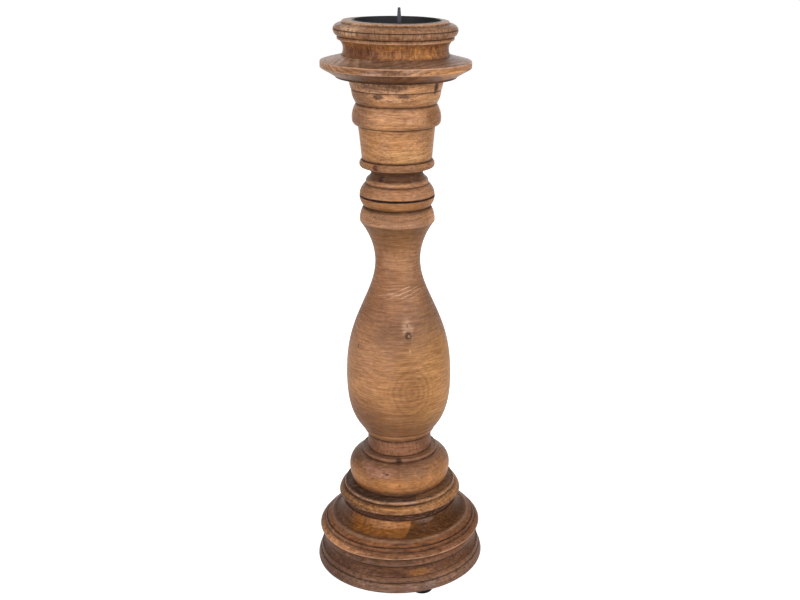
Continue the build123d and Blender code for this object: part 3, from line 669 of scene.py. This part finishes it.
baluster = dict(
    timber, seed=5, joints=(0.9, 1.0), gloss=0.08, roughness=0.46, mottleShow=0.16, fibreShow=0.06,
    poreShow=0.2, streakShow=0.3, fleckShow=0.1,
    cuts=[(145.8, 1.0), (153.7, 0.9), (376.6, 0.6)],
    lines=[(130.2, 0.8), (145.4, 0.6), (153.9, 0.35), (374.6, 0.45), (386.2, 0.8), (386.9, 1.0)],
    # Painted light: the pale line at 363.2 mm is a painted highlight on the flare's rim; the tones by height
    # paint shade on the belly's underside near 165 mm and under the flare near 350 to 361 mm, and a highlight
    # on the flare's rim at 364 mm
    highlightLines=[(363.2, 0.7)],
    toneAndLightBands=[(130, tone(118, 79, 56)), (144, tone(120, 82, 58)), (150, tone(152, 106, 72)),
           (165, tone(124, 86, 58)),
           (205, tone(168, 121, 82)), (270, tone(114, 82, 62)), (325, tone(148, 106, 75)),
           (350, tone(130, 90, 58)),
           (361, tone(122, 86, 58)), (364, tone(182, 136, 102)), (371, tone(172, 126, 92)),
           (376, tone(128, 90, 62)),
           (380, tone(154, 106, 68))],
    patches=[
        {"at": (-35, 210), "size": (60, 75), "tone": tone(184, 132, 76), "amount": 0.45, "fray": 0.3,
         "frayScale": 30.0},
        {"at": (-140, 290), "size": (40, 60), "tone": tone(150, 100, 68), "amount": 0.35, "fray": 0.3,
         "frayScale": 30.0},
        {"at": (-72, 297.5), "size": (21, 9), "tone": tone(206, 164, 132), "amount": 0.55, "as": "Stripes",
         "fray": 0.5,
         "frayScale": 70.0, "stripe": (-620, 0, 1750)},
        {"at": (-110, 294.5), "size": (15, 5), "tone": tone(198, 154, 122), "amount": 0.45, "as": "Stripes",
         "fray": 0.5,
         "frayScale": 70.0, "stripe": (-300, 0, 1750)},
        {"at": (-135, 175), "size": (36, 26), "tone": tone(120, 80, 54), "amount": 0.45, "fray": 0.4,
         "frayScale": 60.0},
        # Painted sheen: a broad pinkish highlight on the belly's left
        {"at": (-145, 236), "size": (36, 64), "tone": tone(196, 142, 104), "amount": 0.42, "fray": 0.3,
         "frayScale": 30.0},
        # Painted highlights: streaked highlights on the neck
        {"at": (-112, 327), "size": (10, 16), "tone": tone(204, 154, 120), "amount": 0.2, "fray": 1.6,
         "frayScale": 420.0,
         "grain": (1, 1, 0.3)},
        {"at": (-72, 326), "size": (13, 16), "tone": tone(204, 154, 112), "amount": 0.16, "fray": 2.2,
         "frayScale": 420.0,
         "grain": (1, 1, 0.3)},
        {"at": (-90, 368), "size": (60, 7), "tone": tone(96, 62, 44), "amount": 0.4, "fray": 3.2,
         "frayScale": 760.0},
        {"at": (-90, 138), "size": (60, 9), "tone": tone(86, 55, 39), "amount": 0.82, "fray": 0.3},
        {"at": (-92, 138), "size": (34, 10), "tone": tone(192, 136, 102), "amount": 0.26, "fray": 3.2,
         "frayScale": 700.0,
         "grain": (1, 1, 0.22)},
        {"at": (-78, 203.7), "size": (24, 32), "tone": tone(134, 93, 60), "amount": 0.65, "fray": 0.2},
        {"at": (-76, 205), "size": (28, 40), "tone": tone(118, 78, 48), "amount": 0.42, "as": "Rings",
         "fray": 0.22,
         "frayScale": 50.0},
        # Painted highlight: a pale halo above the knot
        {"at": (-77.5, 266), "size": (8, 13), "tone": tone(204, 164, 136), "amount": 0.4, "fray": 1.0},
        {"at": (-77.5, 260.3), "size": (4.8, 5.6), "tone": ink, "amount": 0.95, "fray": 0.7,
         "frayScale": 420.0},
        {"at": (-76.6, 259.7), "size": (1.8, 1.9), "tone": tan, "amount": 0.9, "fray": 0.4,
         "frayScale": 420.0},
        {"at": (-77.9, 269), "size": (1.0, 10), "tone": umber, "amount": 0.8, "fray": 0.3},
        # Painted highlight: a pale streak below the knot
        {"at": (-76.5, 246), "size": (1.2, 13), "tone": rose, "amount": 0.35, "fray": 0.5},
        {"at": (-145.5, 245.4), "size": (1.4, 3), "tone": umber, "amount": 0.9},
    ],
)
turnSimple("balusterTurned", baluster, "stained_wood", "baluster")

capital = dict(
    timber, seed=6, joints=(1.0, 0.5), mottleShow=0.2, streakShow=0.28,
    cuts=[(472, 0.55), (485, 0.75)],
    lines=[(386.9, 1.0), (387.6, 0.8), (398.2, 0.35), (420.8, 0.75), (452, 0.3)],
    # Painted light in the tones by height: a painted highlight on the fillet at 400.4 mm, and painted shade
    # on the neck under the plate, 403.5 to 409 mm
    toneAndLightBands=[(388, tone(166, 120, 86)), (396, tone(150, 106, 76)), (398.6, tone(128, 90, 64)),
           (400.4, tone(170, 124, 90)),
           (401.8, tone(146, 104, 76)), (403.5, tone(94, 66, 48)), (409, tone(92, 64, 46)),
           (416, tone(134, 95, 66)),
           (424, tone(166, 119, 80)), (450, tone(167, 120, 81)), (462, tone(174, 128, 94)),
           (478, tone(164, 118, 80)),
           (490, tone(170, 126, 92))],
    boards=[{"turn": 0, "offset": 10, "low": 484, "tone": honey, "amount": 0.6, "blur": 0.6}],
    patches=[
        {"at": (-106, 485.8), "size": (30, 3.4), "tone": tone(222, 172, 134), "amount": 0.5, "fray": 2.6,
         "frayScale": 420.0},
        {"at": (-114, 490.6), "size": (27, 5.5), "tone": tone(62, 45, 40), "amount": 0.6, "fray": 3.2,
         "frayScale": 420.0},
        {"at": (-90, 491), "size": (14, 4.5), "tone": tone(62, 46, 41), "amount": 0.45, "fray": 3.0,
         "frayScale": 420.0},
        {"at": (-97, 480.6), "size": (16, 2.6), "tone": tone(224, 176, 142), "amount": 0.4, "fray": 4.0,
         "frayScale": 480.0},
        # Painted light on the ovolo: shade on its left, light on its right
        {"at": (-150, 479), "size": (26, 12), "tone": tone(124, 88, 64), "amount": 0.7, "fray": 0.4},
        {"at": (-35, 480), "size": (26, 12), "tone": tone(194, 142, 98), "amount": 0.5, "fray": 0.4},
        # Painted shade on the torus's sides, which leaves its middle as a lit band
        {"at": (-150, 461), "size": (22, 14), "tone": tone(126, 90, 69), "amount": 0.8, "fray": 0.3},
        {"at": (-30, 461), "size": (22, 14), "tone": tone(122, 82, 51), "amount": 0.75, "fray": 0.3},
        {"at": (-72, 428), "size": (28, 9), "tone": tone(216, 168, 114), "amount": 0.35, "fray": 2.6,
         "frayScale": 620.0},
        {"at": (-122, 431), "size": (15, 8), "tone": tone(210, 162, 116), "amount": 0.35, "as": "Stripes",
         "fray": 0.5,
         "frayScale": 70.0, "stripe": (900, 0, 1500)},
        {"at": (-33, 488.5), "size": (4.6, 8.5), "tone": tone(58, 30, 20), "amount": 1.0, "fray": 0.5},
        {"at": (-114, 482.3), "size": (7, 3.4), "tone": tone(72, 50, 42), "amount": 0.9, "fray": 1.0,
         "frayScale": 300.0},
        {"at": (-80, 483), "size": (8, 2.4), "tone": umber, "amount": 0.8, "fray": 1.0, "frayScale": 300.0},
        {"at": (-124.5, 416.5), "size": (3.8, 6.5), "tone": tone(80, 42, 34), "amount": 1.0},
        {"at": (-123.3, 405.5), "size": (4.2, 7.5), "tone": tone(52, 32, 30), "amount": 0.85},
    ],
)
turnSimple("capitalTurned", capital, "stained_wood", "capital")

dripPlate = dict(
    # The dark line at 496.8 mm is painted shadow under the plate's step, and the tones by height paint shade
    # on the underside near 495 mm
    timber, seed=7, joints=(1.0, 0.0), lines=[(496.8, 0.7)], ringTone=umber, poreShow=0.45,
    fibreTurn=(math.radians(90), math.radians(-39), 0), pith=(0.02, -0.56, 0), ringGap=0.0042,
    ringShow=0.55,
    toneAndLightBands=[(495, tone(110, 72, 46)), (503, tone(138, 94, 62)), (505, tone(158, 112, 74)),
           (509, tone(152, 108, 75)),
           (511, tone(152, 115, 90)), (515, tone(128, 94, 72))],
    patches=[
        {"at": (-95, 506), "size": (24, 6), "tone": tone(104, 70, 48), "amount": 0.85, "fray": 0.4},
        {"at": (-78.8, 507), "size": (14, 5), "tone": tone(206, 178, 158), "amount": 0.14, "fray": 2.4,
         "frayScale": 900.0,
         "grain": (1, 1, 0.06)},
        # Painted reflection of the pale surroundings on the top's left
        {"at": (-148, 514.5), "size": (44, 8), "tone": tone(202, 160, 128), "amount": 0.55, "fray": 0.6,
         "frayScale": 60.0},
        {"at": (-38, 499), "size": (34, 6), "tone": tone(170, 108, 64), "amount": 0.6},
        {"at": (-108, 505.5), "size": (14, 3), "tone": tone(176, 136, 118), "amount": 0.6},
        {"at": (-45, 505), "size": (34, 5), "tone": tone(206, 146, 90), "amount": 0.8},
        # Painted reflection of the pale surroundings on the top's left, wider
        {"at": (-155, 512), "size": (34, 24), "tone": tone(194, 150, 116), "amount": 0.65, "fray": 0.4,
         "frayScale": 60.0},
        {"at": (-130, 503), "size": (3, 2), "tone": ink, "amount": 0.8},
    ],
)
turnSimple("dripPlate", dripPlate, "stained_wood", "drip_plate")

cup = dict(
    timber, seed=8, joints=(0.35, 0.3), cuts=[(0, 0.85)], fibreTurn=(0, 0, 0), mottleShow=0.6, poreShow=0.7,
    toneAndLightBands=[(515, tone(114, 76, 48)), (527, tone(138, 90, 52)), (530, tone(146, 104, 74)),
           (537, tone(132, 95, 68)),
           (542, tone(139, 101, 72)), (545.7, tone(136, 97, 68))],
    boards=[{"turn": 0, "offset": 3.6, "low": 532, "tone": tone(134, 98, 73), "amount": 0.6, "blur": 0.5}],
    patches=[
        # Painted highlight on the upper bead's left; the two patches below paint shade on the scotia's left
        # and golden light on its right
        {"at": (-138, 541), "size": (22, 9), "tone": tone(198, 158, 126), "amount": 0.8, "fray": 0.7},
        {"at": (-60, 520), "size": (22, 8), "tone": tone(158, 104, 52), "amount": 0.6},
        {"at": (-130, 520), "size": (30, 8), "tone": tone(94, 56, 35), "amount": 0.9},
    ],
)
turnCup(cup)


def makePlain(name, color, roughness, metallic, grain, bumpDepth, gloss=0.2):
    material = bpy.data.materials.new(name)
    material.use_nodes = True
    tree = material.node_tree
    shader = tree.nodes["Principled BSDF"]
    place = put(tree, "ShaderNodeTexCoord").outputs["Object"]
    speck = noise(tree, place, grain, 3, 0.6)
    light = [min(c * 1.5 + 0.004, 1) for c in color[:3]] + [1]
    tree.links.new(mixed(tree, remap(tree, speck, 0.35, 0.7), color, light), shader.inputs["Base Color"])
    tree.links.new(remap(tree, speck, 0.3, 0.7, roughness - 0.08, roughness + 0.08),
                   shader.inputs["Roughness"])
    shader.inputs["Metallic"].default_value = metallic
    shader.inputs["Specular IOR Level"].default_value = gloss
    bump = put(tree, "ShaderNodeBump", {"Height": speck, "Strength": 0.3, "Distance": bumpDepth})
    tree.links.new(bump.outputs["Normal"], shader.inputs["Normal"])
    return material


hardware = {
    "black_steel": makePlain("blackPaint", tone(30, 30, 33), 0.55, 0.0, 900, 0.0002),
    "dark_steel": makePlain("spikeSteel", tone(54, 52, 62), 0.4, 0.0, 1200, 0.0001),
    "zinc_steel": makePlain("zinc", tone(188, 188, 186), 0.35, 1.0, 600, 0.0001),
    "dowel_wood": makePlain("dowelWood", tone(188, 158, 124), 0.6, 0.0, 400, 0.0002),
    # Black rubber, its tone set darker than the rubber's own as painted shade under the plinth
    "black_rubber": makePlain("rubber", tone(14, 14, 14), 0.7, 0.0, 1500, 0.0001, 0.1),
}
for part in frame["record"]["subparts"]:
    finish = hardware.get(part["material_slot"])
    if finish:
        node = frame["nodes"][part["node"]]
        node.data.materials.clear()
        node.data.materials.append(finish)
print("hardware finished")


# Studio: pale floor, soft lights, white to the camera
studio = {"floor": 20.0, "floorTone": 0.86, "bounceTone": 0.25, "floorGlow": 0.8, "ambient": 0.25,
          "keyPower": 22.0, "fillPower": 32.0, "backPower": 11.0}


# Rays that meet the white surroundings: straight from the camera, or by a gloss or a glass
def seenRays(tree):
    rays = put(tree, "ShaderNodeLightPath").outputs
    mirrored = sumOf(tree, "MAXIMUM", rays["Is Glossy Ray"], rays["Is Transmission Ray"])
    return sumOf(tree, "MAXIMUM", rays["Is Camera Ray"], mirrored)


def makeFloor():
    half = studio["floor"]
    mesh = bpy.data.meshes.new("floor")
    mesh.from_pydata([(-half, -half, 0), (half, -half, 0), (half, half, 0), (-half, half, 0)], [],
                     [(0, 1, 2, 3)])
    floor = bpy.data.objects.new("floor", mesh)
    bpy.context.scene.collection.objects.link(floor)
    material = bpy.data.materials.new("floorPaper")
    material.use_nodes = True
    tree = material.node_tree
    shader = tree.nodes["Principled BSDF"]
    shader.inputs["Roughness"].default_value = 0.9
    shader.inputs["Specular IOR Level"].default_value = 0.1
    shader.inputs["Emission Color"].default_value = (1, 1, 1, 1)
    seen = seenRays(tree)
    glow = sumOf(tree, "MULTIPLY", seen, studio["floorGlow"])
    tree.links.new(glow, shader.inputs["Emission Strength"])
    bounce, plain = ((studio[key],) * 3 + (1,) for key in ("bounceTone", "floorTone"))
    tree.links.new(mixed(tree, seen, bounce, plain), shader.inputs["Base Color"])
    mesh.materials.append(material)


def makeWorld():
    world = bpy.data.worlds.new("studio")
    bpy.context.scene.world = world
    world.use_nodes = True
    tree = world.node_tree
    tree.nodes.clear()
    seen = seenRays(tree)
    glow = put(tree, "ShaderNodeBackground", {"Color": (1, 1, 1, 1), "Strength": studio["ambient"]})
    white = put(tree, "ShaderNodeBackground", {"Color": (1, 1, 1, 1), "Strength": 1.0})
    both = put(tree, "ShaderNodeMixShader", {0: seen, 1: glow.outputs[0], 2: white.outputs[0]})
    put(tree, "ShaderNodeOutputWorld", {"Surface": both.outputs[0]})


def makeLamp(name, place, aim, size, power):
    lamp = bpy.data.objects.new(name, bpy.data.lights.new(name, "AREA"))
    lamp.data.size = size
    lamp.data.energy = power
    bpy.context.scene.collection.objects.link(lamp)
    lamp.location = place
    lamp.rotation_mode = "QUATERNION"
    lamp.rotation_quaternion = (Vector(aim) - Vector(place)).to_track_quat("-Z", "Y")


makeFloor()
makeWorld()
makeLamp("keySoftbox", (-1.0, -1.3, 0.7), (0, 0, 0.4), 1.1, studio["keyPower"])
makeLamp("fillSoftbox", (1.15, -1.2, 0.8), (0, 0, 0.4), 1.6, studio["fillPower"])
makeLamp("backSoftbox", (0, 2.0, 0.4), (0, 0, 0.3), 1.6, studio["backPower"])
print("studio lit")
